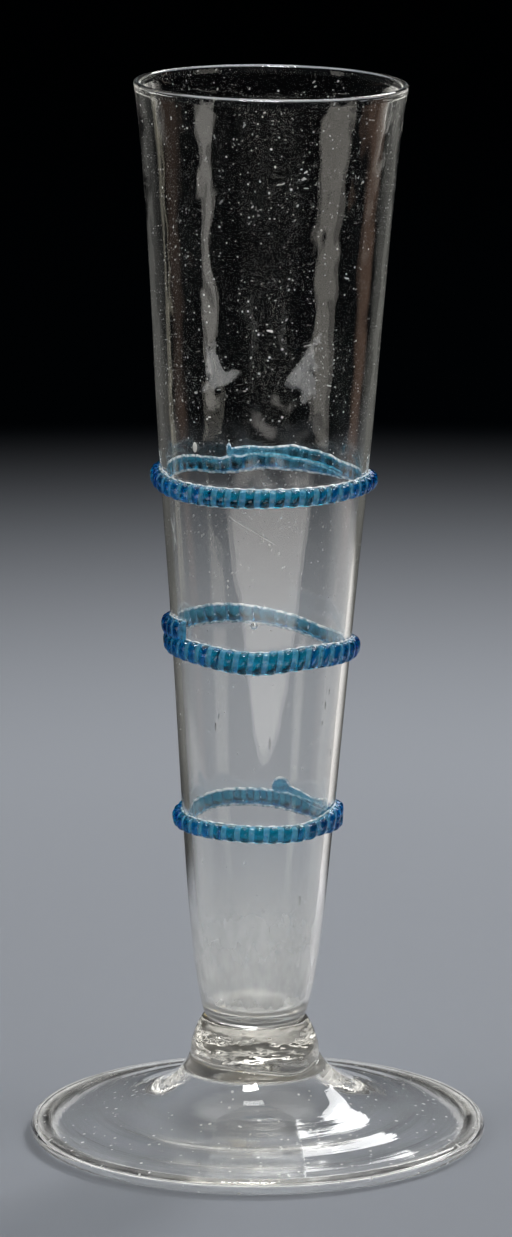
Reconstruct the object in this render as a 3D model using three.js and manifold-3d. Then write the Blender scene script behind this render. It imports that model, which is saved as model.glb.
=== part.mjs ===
// A tall footed beaker of free-blown clear glass with three notched blue threads laid round it.
// Millimetres, +Z up. The origin is the middle of the ring on which the foot rests.
// Three gathers of clear glass (foot, collar, bowl), the stub of a fourth (the pontil mark) and
// three trails of blue glass (the threads) are separate solids. Hot glass fuses where it touches,
// and joinGap stands for that seam.

import * as THREE from "three";
import { mergeVertices } from "three/addons/utils/BufferGeometryUtils.js";
import Module from "manifold-3d";

const wasm = await Module();
wasm.setup();

// Overall
const rimHeight = 240; // table to the middle of the rim
const leanDegrees = 0.98; // the bowl leans towards +X on its foot, as hand-made glass does
const collarShift = -0.65; // neck and collar sit this far off the foot's middle, along X
const joinGap = 0.3;
const roundSegments = 56;

// Foot: a blown disc whose edge is folded under into a double rim with air in the fold
const footRadius = 51.6;
const foldWidth = 5.4; // how far the folded flap reaches in under the disc
const foldSlot = 0.4; // air between flap and disc
const flapThickness = 1.7;
const plateAtRim = 1.6;
const plateAtNeck = 3.1;
const plateSlope = 0.19; // rise of the disc per millimetre towards the middle
const neckHeight = 18;
const neckLedge = 0.2; // the collar stands this far inside the neck's edge
const neckFlare = 4.8; // distance in which the neck's swell dies out into the disc
const hollowCrownRadius = 6.5; // the foot's hollow is level inside this radius
const hollowCrownRise = 0.7;

// Pontil mark: the broken stub of glass by which the foot was held on the iron
const pontilRadius = 4.6;
const pontilDepth = 1.3;
const pontilTeeth = 9;
const pontilJag = 0.32; // how far the teeth of the broken edge stand out and in
const pontilSkew = 0.28; // how far the whole edge is out of round
const pontilTilt = 0.3; // how much deeper the stub is at some places than at others, as a share

// Collar: the solid gather between foot and bowl, which takes up the bowl's lean
const collarHeight = 9.1;
const collarTopRadius = 11.6;
const collarBottomRadius = 14.7;
const collarBulge = 0.8; // how far the side swells past a straight cone
const sagDepth = 1.8; // the collar was laid on hot, and sags into the neck at one place
const sagDegrees = -48; // where it sags most, anticlockwise from +X, seen from above
const sagSpread = 8; // distance in which the sag dies out

// Bowl: its outside is a taper with a slight belly, tucked in at the base and flared at the rim
const bowlBaseRadius = 11.5;
const heelTuck = 2;
const heelSpread = 9.2; // height in which the tuck dies out
const bellySwell = 0.4;
const bellyHeight = 130; // above the bowl's base
const bellySpread = 28;
const rimRadius = 30.3;
const rimFlare = 0.85;
const flareSpread = 8; // depth below the rim in which the flare dies out
const rimBead = 0.72; // radius of the fire-polished lip
const wallAtRim = 1.1;
const wallAtBase = 1.8;
const bowlFloor = 1.8; // least glass under the inside of the bowl
const kickRadius = 6.8; // the dome pushed up in the floor
const kickHeight = 3.8;
const floorCorner = 3;

// Threads: trails of soft glass, whose heights are those of their middles above the table
const upperThreadHeight = 151;
const upperThreadWidth = 3.7;
const middleThreadHeight = 113.8;
const middleThreadWidth = 4.7;
const lowerThreadHeight = 73.6;
const lowerThreadWidth = 3.6;
const threadThickness = 2.35;
const notchPitch = 3.45; // spacing of the notching wheel's teeth, measured along the outside
const notchDepth = 1.05;
const notchFlare = 0.14; // how far a pillow between two notches swells above and below
const stepsPerNotch = 3;
const layerStep = 0.06; // the trail's end lies this much further from the wall than its start

// The trails are laid on by hand, so height and width wander. A route's rows are degrees round
// the bowl (anticlockwise from +X, seen from above), rise above the thread's height, and width.
// Rise and width are shares of the thread's full width, and so are a drop's length, width and
// rise. Past 360 degrees the trail runs over its own start.
const threads = [
  {
    name: "upper_thread",
    height: upperThreadHeight,
    width: upperThreadWidth,
    slant: 5,
    route: [
      [34, -0.41, 0.28],
      [62, -0.22, 0.55],
      [90, -0.05, 0.86],
      [112, -0.24, 0.86],
      [150, 0.22, 0.86],
      [220, -0.11, 1.1],
      [290, 0.03, 1],
      [345, 0.11, 0.96],
      [392, -0.05, 0.84],
      [424, 0.43, 0.78],
      [450, 0.53, 0.46],
      [469, 0.53, 0.36],
    ],
    drop: { length: 0.65, width: 0.81, rise: 0.05 },
  },
  {
    name: "middle_thread",
    height: middleThreadHeight,
    width: middleThreadWidth,
    slant: 8,
    route: [
      [166, 0.06, 0.7],
      [192, 0.02, 0.85],
      [225, 0.04, 0.98],
      [265, -0.15, 1.03],
      [300, 0.06, 1.05],
      [340, -0.04, 0.95],
      [398, -0.19, 0.68],
      [430, 0.19, 0.68],
      [470, 0.57, 0.8],
      [505, 0.64, 0.82],
      [545, 0.82, 0.92],
      [574, 0.95, 0.92],
    ],
  },
  {
    name: "lower_thread",
    height: lowerThreadHeight,
    width: lowerThreadWidth,
    slant: 3,
    route: [
      [-52, 0, 0.5],
      [-20, -0.06, 0.85],
      [40, -0.14, 1],
      [75, 0.08, 1],
      [120, 0.22, 0.95],
      [180, -0.11, 1],
      [245, -0.03, 0.95],
      [300, -0.06, 1],
      [318, 0.08, 1.05],
      [336, 0.39, 1],
      [365, 0.58, 0.74],
      [396, 0.31, 0.42],
      [424, 0.78, 0.36],
    ],
    drop: { length: 1.39, width: 0.89, rise: 0.19 },
  },
];

const lean = THREE.MathUtils.degToRad(leanDegrees);
const collarBase = neckHeight + joinGap;
const bowlBase = collarBase + collarHeight + joinGap;
const bowlHeight = rimHeight - bowlBase;

const clearGlass = new THREE.MeshStandardMaterial({
  name: "clear_glass",
  color: 0xdfe4e2,
  roughness: 0.04,
  metalness: 0,
  transparent: true,
  opacity: 0.35,
});
const brokenGlass = clearGlass.clone();
brokenGlass.name = "broken_glass";
brokenGlass.roughness = 0.35;
const blueGlass = new THREE.MeshStandardMaterial({
  name: "blue_glass",
  color: 0x0f78a6,
  roughness: 0.06,
  metalness: 0,
  transparent: true,
  opacity: 0.85,
});

const point = (x, y) => new THREE.Vector2(x, y);

// Points of an arc round (r, z), from one angle to another in degrees, both ends kept.
function arc(r, z, radius, fromDegrees, toDegrees, steps) {
  return Array.from({ length: steps + 1 }, (_, i) => {
    const angle = THREE.MathUtils.degToRad(THREE.MathUtils.lerp(fromDegrees, toDegrees, i / steps));
    return point(r + radius * Math.cos(angle), z + radius * Math.sin(angle));
  });
}

// Values from one end to the other. A bend above 1 crowds them towards the start.
function spread(from, to, steps, bend = 1) {
  return Array.from({ length: steps + 1 }, (_, i) => THREE.MathUtils.lerp(from, to, (i / steps) ** bend));
}

// A profile of (radius, height) points turned about +Z. It runs anticlockwise, so faces point out.
function turned(points, segments = roundSegments) {
  const profile = points.map((p) => point(Math.max(p.x, 0), p.y));
  const geometry = new THREE.LatheGeometry(profile, segments);
  geometry.rotateX(Math.PI / 2);
  return geometry;
}

// Moves each vertex of a geometry to where a function of x, y and z says.
function reshaped(geometry, place) {
  const position = geometry.getAttribute("position");
  for (let i = 0; i < position.count; i++) {
    position.setXYZ(i, ...place(position.getX(i), position.getY(i), position.getZ(i)));
  }
  return geometry;
}

function named(name, geometry, material) {
  const mesh = new THREE.Mesh(geometry, material);
  mesh.name = name;
  return mesh;
}

// Foot

const rollRadius = (plateAtRim + foldSlot + flapThickness) / 2;
const rollCentre = footRadius - rollRadius;
const neckRadius = collarBottomRadius + neckLedge;
const hollowCrown = neckHeight - plateAtNeck + hollowCrownRise;

// Height of the foot's upper face at a radius: a shallow cone that swells up into the neck.
function footTop(r) {
  const cone = (radius) => 2 * rollRadius + plateSlope * (rollCentre - radius);
  const swell = neckHeight - cone(neckRadius);
  return cone(r) + swell * Math.exp(-(r - neckRadius) / neckFlare);
}

// Height of the foot's lower face: the upper one less a plate that thickens towards the neck.
function footUnder(r) {
  const share = (rollCentre - r) / (rollCentre - neckRadius);
  return footTop(r) - THREE.MathUtils.lerp(plateAtRim, plateAtNeck, share);
}

// How far a point of the foot follows the neck's sideways shift, by radius.
const neckShare = (r) => Math.exp(-Math.max(0, r - neckRadius) / neckFlare);

// How far the seam between neck and collar sags at a place. It sags most at the neck's edge.
function seamSag(x, y) {
  const angle = THREE.MathUtils.degToRad(sagDegrees);
  const away = Math.hypot(x - neckRadius * Math.cos(angle), y - neckRadius * Math.sin(angle));
  return sagDepth * Math.exp(-((away / sagSpread) ** 2));
}

function foot() {
  const flapEnd = flapThickness / 2;
  const flapCentre = footRadius - foldWidth + flapEnd;
  const slotEnd = foldSlot / 2;
  const under = spread(neckRadius, rollCentre, 7, 1.3).map((r) => point(r, footUnder(r)));
  const above = spread(neckRadius, rollCentre, 9, 1.5).map((r) => point(r, footTop(r)));
  const outline = [
    point(0, hollowCrown),
    point(hollowCrownRadius, hollowCrown),
    ...under.slice(0, -1),
    ...arc(rollCentre, flapThickness + slotEnd, slotEnd, 90, -90, 2),
    ...arc(flapCentre, flapEnd, flapEnd, 90, 270, 3),
    ...arc(rollCentre, rollRadius, rollRadius, -90, 90, 6),
    ...above.reverse().slice(1),
    point(0, neckHeight),
  ];
  return reshaped(turned(outline), (x, y, z) => {
    const r = Math.hypot(x, y);
    const onTop = z > footTop(Math.max(r, neckRadius)) - plateAtRim / 2;
    const sag = onTop ? seamSag(x, y) * neckShare(r) : 0;
    return [x + collarShift * neckShare(r), y, z - sag];
  });
}

// The stub's section in shares of its radius and depth, from the middle of its scooped face out.
const stubOutline = [
  [0, 0.35],
  [0.45, 0.5],
  [0.8, 1],
  [1, 0.45],
  [0.94, 0],
  [0, 0],
];

// The stub broke off unevenly: its edge is jagged and lies higher at some places than at others.
function pontilMark() {
  const top = hollowCrown - joinGap;
  const section = stubOutline.map(([out, down]) => point(pontilRadius * out, top - pontilDepth * down));
  return reshaped(turned(section, 3 * pontilTeeth), (x, y, z) => {
    const angle = Math.atan2(y, x);
    const out = Math.hypot(x, y) / pontilRadius;
    const jag = pontilJag * Math.cos(pontilTeeth * angle) + pontilSkew * Math.sin(2 * angle);
    const reach = 1 + jag / pontilRadius;
    const depth = (top - z) * (1 + pontilTilt * Math.min(1, 2 * out) * Math.sin(3 * angle));
    return [collarShift + x * reach, y * reach, top - depth];
  });
}

// The collar's base sags with the seam and its top is square to the leaning bowl.
function collar() {
  const side = spread(0, 1, 5).map((share) => {
    const cone = THREE.MathUtils.lerp(collarBottomRadius, collarTopRadius, share);
    return point(cone + collarBulge * Math.sin(Math.PI * share), collarHeight * share);
  });
  const level = turned([point(0, 0), ...side, point(0, collarHeight)]);
  return reshaped(level, (x, y, z) => {
    const up = z / collarHeight;
    return [x, y, z - x * Math.tan(lean) * up - seamSag(x, y) * (1 - up)];
  });
}

// Bowl. Its own frame has its base at z = 0.

const lipHeight = bowlHeight - rimBead;

function bowlCurve(z) {
  const straightBase = bowlBaseRadius + heelTuck;
  const taper = (rimRadius - rimFlare - straightBase) / lipHeight;
  const tuck = heelTuck * Math.exp(-z / heelSpread);
  const belly = bellySwell * Math.exp(-(((z - bellyHeight) / bellySpread) ** 2));
  const flare = rimFlare * Math.exp((z - lipHeight) / flareSpread);
  return straightBase + taper * z - tuck + belly + flare;
}

// Heights crowd towards the base and the rim, where the outline curves most.
const bowlSide = spread(0, 180, 11).map((degrees) => {
  const z = lipHeight * Math.sin(THREE.MathUtils.degToRad(degrees / 2)) ** 2;
  return point(bowlCurve(z), z);
});

// Outer radius of the bowl at a height above its base, along the side's straight facets.
function bowlRadius(height) {
  const above = bowlSide.findIndex((p) => p.y >= height);
  const [low, high] = [bowlSide[above - 1], bowlSide[above]];
  return THREE.MathUtils.mapLinear(height, low.y, high.y, low.x, high.x);
}

const wallAt = (z) => THREE.MathUtils.lerp(wallAtBase, wallAtRim, z / lipHeight);

function bowl() {
  const cornerHeight = bowlFloor + floorCorner;
  const cornerRadius = bowlRadius(cornerHeight) - wallAt(cornerHeight) - floorCorner;
  const lip = arc(rimRadius - rimBead, lipHeight, rimBead, 0, 180, 5);
  const inside = bowlSide
    .filter((p) => p.y > cornerHeight + floorCorner / 3 && p.y < lipHeight - 2 * rimBead)
    .map((p) => point(p.x - wallAt(p.y), p.y));
  const kick = arc(0, 0, 1, 0, 90, 4).map((p) => point(kickRadius * p.x, bowlFloor + kickHeight * p.y));
  return turned([
    point(0, 0),
    ...bowlSide,
    ...lip.slice(1),
    ...inside.reverse(),
    ...arc(cornerRadius, cornerHeight, floorCorner, 0, -90, 3),
    ...kick,
  ]);
}

// Threads

// A thread's outline in shares of its thickness and width, from the wall round to the wall.
const threadOutline = [
  [0, -0.5],
  [0.7, -0.49],
  [1, -0.3],
  [1, 0.3],
  [0.7, 0.49],
  [0, 0.5],
];

// How deep the wheel has pressed, by phase along a notch: a narrow groove, then a wide pillow.
const grooveShare = 0.3; // half a groove's width, as a share of the notch pitch
const pressedAt = (phase) => 1 - THREE.MathUtils.smoothstep(Math.min(phase, 1 - phase), 0, grooveShare);

// A trail that is drawn thin loses width faster than thickness, by this power of its width.
const thinning = 0.6;

// Cross-sections of a drop, as shares of its length. They crowd at its round end.
const dropSections = [0.12, 0.3, 0.55, 0.8, 0.97];

// One cross-section of a thread. The notches slant across it by the thread's slant in degrees.
function threadRing(thread, degrees, height, width, thickness, pressed, seat) {
  const slant = Math.tan(THREE.MathUtils.degToRad(thread.slant));
  return threadOutline.map(([out, up]) => {
    const z = height + up * (width + 2 * notchFlare * (1 - pressed));
    const wall = bowlRadius(z) + seat;
    const r = wall + out * (thickness - Math.min(notchDepth, thickness / 2) * pressed);
    const angle = THREE.MathUtils.degToRad(degrees) + (slant * up * width) / wall;
    return new THREE.Vector3(r * Math.cos(angle), r * Math.sin(angle), z);
  });
}

// The cross-sections of a thread along its route, with a round drop or a blunt end at its end.
function threadRings(thread) {
  const height = thread.height - bowlBase;
  const outside = bowlRadius(height) + joinGap + threadThickness;
  const perDegree = THREE.MathUtils.degToRad(outside);
  const route = new THREE.CatmullRomCurve3(thread.route.map((row) => new THREE.Vector3(...row)));
  const turn = thread.route.at(-1)[0] - thread.route[0][0];
  const steps = Math.round((turn * perDegree * stepsPerNotch) / notchPitch);
  const thicknessAt = (share) => threadThickness * Math.min(1, share) ** thinning;
  const rings = route.getSpacedPoints(steps).map(({ x: degrees, y: rise, z: share }, i) => {
    const z = height + rise * thread.width;
    const pressed = Math.min(1, share) * pressedAt((i / stepsPerNotch) % 1);
    const seat = joinGap + (layerStep * i) / steps;
    return threadRing(thread, degrees, z, share * thread.width, thicknessAt(share), pressed, seat);
  });
  if (thread.drop) {
    const { length, width, rise } = thread.drop;
    const [degrees, neckRise] = thread.route.at(-1);
    for (const share of dropSections) {
      const size = Math.sqrt(1 - (2 * share - 1) ** 2);
      const z = height + (neckRise + rise * size) * thread.width;
      const at = degrees + (share * length * thread.width) / perDegree;
      const [wide, thick] = [size * width * thread.width, size * threadThickness];
      rings.push(threadRing(thread, at, z, wide, thick, 0, joinGap + layerStep));
    }
  }
  return rings;
}

// A skin through successive cross-sections, capped at its two ends.
function skinned(rings) {
  const count = rings[0].length;
  const last = (rings.length - 1) * count;
  const index = [];
  for (let start = 0; start < last; start += count) {
    for (let j = 0; j < count; j++) {
      const k = (j + 1) % count;
      const [a, b, c, d] = [start + j, start + k, start + count + k, start + count + j];
      index.push(a, d, c, a, c, b);
    }
  }
  for (let j = 1; j < count - 1; j++) {
    index.push(0, j, j + 1, last, last + j + 1, last + j);
  }
  const geometry = new THREE.BufferGeometry().setFromPoints(rings.flat());
  geometry.setIndex(index);
  return geometry;
}

function solid(geometry) {
  const merged = mergeVertices(geometry, 1e-4);
  const vertProperties = merged.getAttribute("position").array;
  const triVerts = new Uint32Array(merged.index.array);
  return new wasm.Manifold(new wasm.Mesh({ numProp: 3, vertProperties, triVerts }));
}

function geometryOf(manifold) {
  const mesh = manifold.getMesh();
  const geometry = new THREE.BufferGeometry();
  geometry.setAttribute("position", new THREE.BufferAttribute(mesh.vertProperties, 3));
  geometry.setIndex(new THREE.BufferAttribute(mesh.triVerts, 1));
  geometry.computeVertexNormals();
  return geometry;
}

// A thread is one trail that overlaps itself, so its two halves are made apart and fused.
function thread(shape) {
  const rings = threadRings(shape);
  const half = Math.round(rings.length / 2);
  const start = solid(skinned(rings.slice(0, half + 1)));
  const end = solid(skinned(rings.slice(half)));
  return geometryOf(start.add(end));
}

const upright = new THREE.Group();
upright.add(named("foot", foot(), clearGlass));
upright.add(named("pontil_mark", pontilMark(), brokenGlass));
const collarMesh = named("collar", collar(), clearGlass);
collarMesh.position.set(collarShift, 0, collarBase);
upright.add(collarMesh);

// Bowl and threads lean together on the collar.
const blown = new THREE.Group();
blown.position.z = joinGap;
blown.add(named("bowl", bowl(), clearGlass));
for (const shape of threads) {
  blown.add(named(shape.name, thread(shape), blueGlass));
}
const leaning = new THREE.Group();
leaning.position.set(collarShift, 0, collarBase + collarHeight);
leaning.rotation.y = lean;
leaning.add(blown);

const passglas = new THREE.Group();
passglas.add(upright, leaning);

export default passglas;
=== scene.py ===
import math
import random

import bmesh
import bpy
from bpy.props import FloatProperty, FloatVectorProperty, IntProperty, PointerProperty
from mathutils import Matrix, Vector


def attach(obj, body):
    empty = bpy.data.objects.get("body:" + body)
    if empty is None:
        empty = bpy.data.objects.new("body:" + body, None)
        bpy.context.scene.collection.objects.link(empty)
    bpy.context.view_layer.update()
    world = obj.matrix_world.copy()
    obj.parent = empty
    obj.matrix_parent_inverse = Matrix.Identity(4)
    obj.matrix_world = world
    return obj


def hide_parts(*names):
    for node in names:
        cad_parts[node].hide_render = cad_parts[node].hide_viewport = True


bl_info = {
    "name": "Passglas",
    "version": (1, 0, 0),
    "blender": (4, 5, 0),
    "location": "View3D > Sidebar > Passglas",
    "description": "A tall footed beaker of clear blown glass with notched blue threads",
    "category": "Object",
}

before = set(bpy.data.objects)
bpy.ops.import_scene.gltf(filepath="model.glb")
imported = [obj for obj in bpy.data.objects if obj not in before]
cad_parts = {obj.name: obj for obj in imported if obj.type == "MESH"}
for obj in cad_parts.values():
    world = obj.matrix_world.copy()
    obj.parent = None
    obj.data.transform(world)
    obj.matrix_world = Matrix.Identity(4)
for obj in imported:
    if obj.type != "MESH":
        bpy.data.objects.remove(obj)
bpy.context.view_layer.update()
MM = 0.001

# A joint between two pieces that were fused hot. Each keeps this far from the middle of the seam,
# and the faces that meet there let light through unbent.
SEAM = 0.01 * MM
CONTACT = 1  # index of the fused joint among a piece's materials
JOIN = 0.3 * MM  # the CAD solids keep this gap, which the fused glass fills
SAG_ANGLE = math.radians(-48)  # where the collar sags into the neck, anticlockwise from +X
NECK_EDGE = 0.5 * MM  # how far the foot's neck and the collar are rounded where they meet
BASE_EDGE = 0.35 * MM  # how far the bowl's base is rounded
STUB_JOINT = 0.9  # share of the broken stub's radius that is joined to the foot
HALF_GROOVE = 0.2  # half the flat of a thread's groove, as a share of the notch pitch
CUTS_PER_NOTCH = 12  # cross-sections of a thread from one notch to the next
# Painted highlight: white is painted along the thread's edges next to the bowl, standing in for the
# light they catch.
PAINTED_EDGE_HIGHLIGHT = (0.3, 1, 1, 0.75)  # how white a thread is at the first points of a cross-section
ROUND = 192  # steps round the foot and the collar
BOWL_ROUND = 176  # steps round the bowl

# Threads, laid on by hand. The height is above the table, and the slant is that of the notches, in
# degrees. A route's rows are degrees round the bowl (anticlockwise from +X, seen from above), rise
# above the thread's height in widths, and share of its full width. The drop at the end has a
# length, a width and a rise, all in widths.
THREADS = {
    "upper_thread": {
        "height": 151 * MM,
        "width": 3.7 * MM,
        "slant": 5,
        "route": [
            (34, -0.41, 0.28),
            (62, -0.22, 0.55),
            (90, -0.05, 0.86),
            (112, -0.24, 0.86),
            (150, 0.22, 0.86),
            (220, -0.11, 1.1),
            (290, 0.03, 1),
            (345, 0.11, 0.96),
            (392, -0.05, 0.84),
            (424, 0.43, 0.78),
            (450, 0.53, 0.46),
            (469, 0.53, 0.36),
        ],
        "drop": (0.65, 0.81, 0.05),
    },
    "middle_thread": {
        "height": 113.8 * MM,
        "width": 4.7 * MM,
        "slant": 8,
        "route": [
            (166, 0.06, 0.7),
            (192, 0.02, 0.85),
            (225, 0.04, 0.98),
            (265, -0.15, 1.03),
            (300, 0.06, 1.05),
            (340, -0.04, 0.95),
            (398, -0.19, 0.68),
            (430, 0.19, 0.68),
            (470, 0.57, 0.8),
            (505, 0.64, 0.82),
            (545, 0.82, 0.92),
            (574, 0.95, 0.92),
        ],
        "drop": None,
    },
    "lower_thread": {
        "height": 73.6 * MM,
        "width": 3.6 * MM,
        "slant": 3,
        "route": [
            (-52, 0, 0.5),
            (-20, -0.06, 0.85),
            (40, -0.14, 1),
            (75, 0.08, 1),
            (120, 0.22, 0.95),
            (180, -0.11, 1),
            (245, -0.03, 0.95),
            (300, -0.06, 1),
            (318, 0.08, 1.05),
            (336, 0.39, 1),
            (365, 0.58, 0.74),
            (396, 0.31, 0.42),
            (424, 0.78, 0.36),
        ],
        "drop": (1.39, 0.89, 0.19),
    },
}


# Bubbles that stand out in the bowl: degrees round it (anticlockwise from +X, seen from above),
# height above its base and radius in millimetres, and how much taller than wide.
BUBBLES = (
    (265, 94.0, 0.82, 1),
    (320, 74.5, 0.19, 5),
    (323, 77.5, 0.15, 5),
    (318, 70.5, 0.16, 4),
    (309, 29.5, 0.2, 6),
    (237, 70.0, 0.17, 6),
    (240, 72.5, 0.14, 4),
    (277, 66.8, 0.18, 7),
    (331, 63.0, 0.15, 6),
)

# Painted glints: white matt cores in bubbles where they gleam, given in the same way.
PAINTED_GLINTS = (
    (229, 133.5, 0.58, 2.0),
    (265.6, 94.15, 0.26, 1),
)

# Scratches on the bowl, from one place to another: degrees round it and height above its base in
# millimetres.
SCRATCHES = (
    ((251, 118.6), (277, 112.7)),
    ((270, 113.2), (269.4, 115.6)),
    ((204, 116), (209, 110)),
    ((208.5, 117.5), (206, 108.5)),
)

# Soft boxes aimed at the glass: azimuth and elevation in degrees (0 in front, 90 to its right),
# distance, width and height in metres, radiance, and whether they light matt things only, gleam
# on glass only, or do both.
SOFTBOXES = {
    "key": (150, 38, 1.5, 0.3, 0.3, 28.0, "matt"),
    "right_back": (154, 35, 1.5, 0.7, 0.3, 7.0, "both"),
    "back": (175, 44, 1.5, 0.24, 0.34, 6.0, "glass"),
    "left": (-78, 42, 1.5, 0.5, 0.6, 2.6, "matt"),
    "right": (78, 42, 1.5, 0.5, 0.6, 2.6, "matt"),
    "gleam": (-8, 62, 1.3, 0.45, 0.22, 34.0, "glass"),
}
AIM = Vector((0, 0, 0.1))  # what the soft boxes point at
CAMERA_DOWN = 12.095  # degrees by which the camera looks down

# What glass mirrors of the table in front of it, where the tent lights it: its radiance.
LIT_TABLE = (2.1, 2.0, 1.9)

# What it mirrors further round: a strip of azimuth and the softness of its edges in degrees, a
# stretch of distance and its softness in metres, and radiance.
MIRRORED = {
    "left_card": (-68, -54, 1.2, 0.6, 1.8, 0.01, (1.55, 1.5, 1.4)),
    "right_card": (50, 73, 1.2, 0.5, 1.8, 0.01, (1.15, 1.1, 1.0)),
    "wood_left": (-110, -95, 3.0, 0.5, 1.2, 0.1, (0.16, 0.11, 0.085)),
    "wood_right": (101, 118, 3.0, 0.45, 1.2, 0.1, (0.34, 0.22, 0.16)),
    "cream_left": (-121, -116, 1.5, 0.45, 1.2, 0.05, (0.8, 0.75, 0.6)),
    "side_left": (-170, -126, 6.0, 0.3, 1.2, 0.1, (0.08, 0.08, 0.075)),
    "side_right": (126, 170, 6.0, 0.3, 1.2, 0.1, (0.12, 0.12, 0.11)),
    "low_left": (-150, -100, 8.0, 0.2, 0.5, 0.04, (0.07, 0.07, 0.065)),
    "low_right": (88, 150, 12.0, 0.2, 0.5, 0.04, (0.8, 0.78, 0.76)),
    "near_right": (88, 150, 12.0, 0.08, 0.2, 0.02, (0.45, 0.43, 0.42)),
}

# Painted reflections: pale patches on the front of the bowl that stand in for the ends of the bands it
# mirrors. The corners of each, as degrees round the bowl (anticlockwise from +X, seen from above) and
# height above the table in millimetres.
PAINTED_REFLECTIONS = (
    ((-101, 178), (-116, 186), (-119, 175.3)),
    ((-61, 186.5), (-76, 177), (-62, 172.5)),
)
PAINTED_REFLECTION_SHARE = 0.24  # how much of the glass a smear hides

# White points in the glass. The space is parted into cells of a size, and a share of them holds one
# point each. Its radius is at most a share of the cell, and it hides a share of the glass.
DUST = (0.48 * MM, 0.55, 0.4, 0.095)
PITS = (0.9 * MM, 0.35, 0.24, 0.75)
FINE_SEEDS = (2.3 * MM, 0.4, 0.12, 1)
FOOT_SEEDS = (2.2 * MM, 0.5, 0.2, 0.9)


def length(name, millimetres, about):
    """A size that a user may change, given here in millimetres."""
    return FloatProperty(
        name=name, description=about, default=millimetres * MM, min=0, precision=5, unit="LENGTH"
    )


def share(name, default, about):
    """A number without a unit."""
    return FloatProperty(name=name, description=about, default=default, precision=3)


def linear(code):
    """An sRGB hex colour such as #DFE4E2 as linear red, green and blue."""
    srgb = [int(code[i : i + 2], 16) / 255 for i in (1, 3, 5)]
    return tuple(c / 12.92 if c <= 0.04045 else ((c + 0.055) / 1.055) ** 2.4 for c in srgb)


def colour(name, code, about):
    """A colour that a user may change, given as sRGB hex."""
    return FloatVectorProperty(
        name=name, description=about, default=linear(code), size=3, min=0, max=1, subtype="COLOR"
    )


class FootSettings(bpy.types.PropertyGroup):
    """The blown foot, whose edge is folded under."""

    radius: length("Radius", 51.6, "Half the foot's width over its folded edge")
    fold_width: length("Fold width", 5.4, "How far the folded flap reaches in under the disc")
    fold_slot: length("Fold slot", 0.4, "Air between the flap and the disc")
    flap: length("Flap", 1.7, "Thickness of the flap")
    plate_at_rim: length("Plate at rim", 1.6, "Thickness of the disc at its edge")
    plate_at_neck: length("Plate at neck", 3.1, "Thickness of the disc at the neck")
    slope: share("Slope", 0.19, "Rise of the disc per metre towards the middle")
    neck_height: length("Neck height", 18, "Table to the joint with the collar")
    neck_ledge: length("Neck ledge", 0.2, "How far the collar stands inside the neck's edge")
    sag: length("Sag", 1.8, "How far the collar has sagged into the neck at one place")
    sag_spread: length("Sag spread", 8, "Distance in which the sag dies out")
    neck_flare: length("Neck flare", 4.8, "Distance in which the neck dies out into the disc")
    crown_radius: length("Crown radius", 6.5, "The hollow below is level inside this radius")
    crown_rise: length("Crown rise", 0.7, "Extra height of the hollow's middle")
    wave: length("Wave", 0.09, "Height of the soft rings that the tool has left")
    wave_pitch: length("Wave pitch", 9.5, "Spacing of these rings")
    pontil_radius: length("Pontil radius", 4.6, "Radius of the broken stub below")
    pontil_depth: length("Pontil depth", 1.3, "Height of the broken stub below")


class CollarSettings(bpy.types.PropertyGroup):
    """The solid gather between foot and bowl."""

    height: length("Height", 9.1, "Height on the axis")
    top_radius: length("Top radius", 11.6, "Radius where the bowl stands")
    bottom_radius: length("Bottom radius", 14.7, "Radius on the foot's neck")
    bulge: length("Bulge", 0.8, "How far the side swells past a straight cone")
    shift: FloatProperty(
        name="Shift", description="Offset along X", default=-0.65 * MM, precision=5, unit="LENGTH"
    )
    lean: FloatProperty(
        name="Lean",
        description="How far the bowl leans towards X",
        default=math.radians(0.98),
        subtype="ANGLE",
    )


class BowlSettings(bpy.types.PropertyGroup):
    """The blown vessel."""

    rim_height: length("Rim height", 239.95, "Table to the middle of the rim")
    base_radius: length("Base radius", 11.5, "Radius on the collar")
    heel_tuck: length("Heel tuck", 2, "How far the base is drawn in")
    heel_spread: length("Heel spread", 9.2, "Height in which the tuck dies out")
    belly_swell: length("Belly swell", 0.4, "How far the side swells past a straight taper")
    belly_height: length("Belly height", 130, "Where it swells most, above the base")
    belly_spread: length("Belly spread", 28, "Height in which the swell dies out")
    rim_radius: length("Rim radius", 30.3, "Outer radius at the lip")
    rim_flare: length("Rim flare", 0.85, "How far the lip turns out")
    flare_spread: length("Flare spread", 8, "Depth in which the flare dies out")
    rim_bead: length("Rim bead", 0.72, "Radius of the fire-polished lip")
    wall_at_rim: length("Wall at rim", 1.1, "Wall thickness at the top")
    wall_at_base: length("Wall at base", 1.8, "Wall thickness at the bottom")
    floor: length("Floor", 1.8, "Least glass under the inside")
    kick_radius: length("Kick radius", 6.8, "Radius of the dome in the floor")
    kick_height: length("Kick height", 3.8, "Height of the dome in the floor")
    corner: length("Corner", 3, "Inside radius between floor and wall")
    seeds: IntProperty(name="Seeds", description="Small air bubbles in the wall", default=2400, min=0)


class ThreadSettings(bpy.types.PropertyGroup):
    """The notched trails of blue glass."""

    thickness: length("Thickness", 2.35, "How far a thread stands out from the wall")
    notch_pitch: length("Notch pitch", 3.45, "Spacing of the notches along the outside")
    notch_depth: length("Notch depth", 1.05, "How deep the wheel has pressed")
    notch_flare: length("Notch flare", 0.14, "How far a pillow swells above and below")
    sink: length("Sink", 0.16, "How far a thread has melted into the wall")


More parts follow.
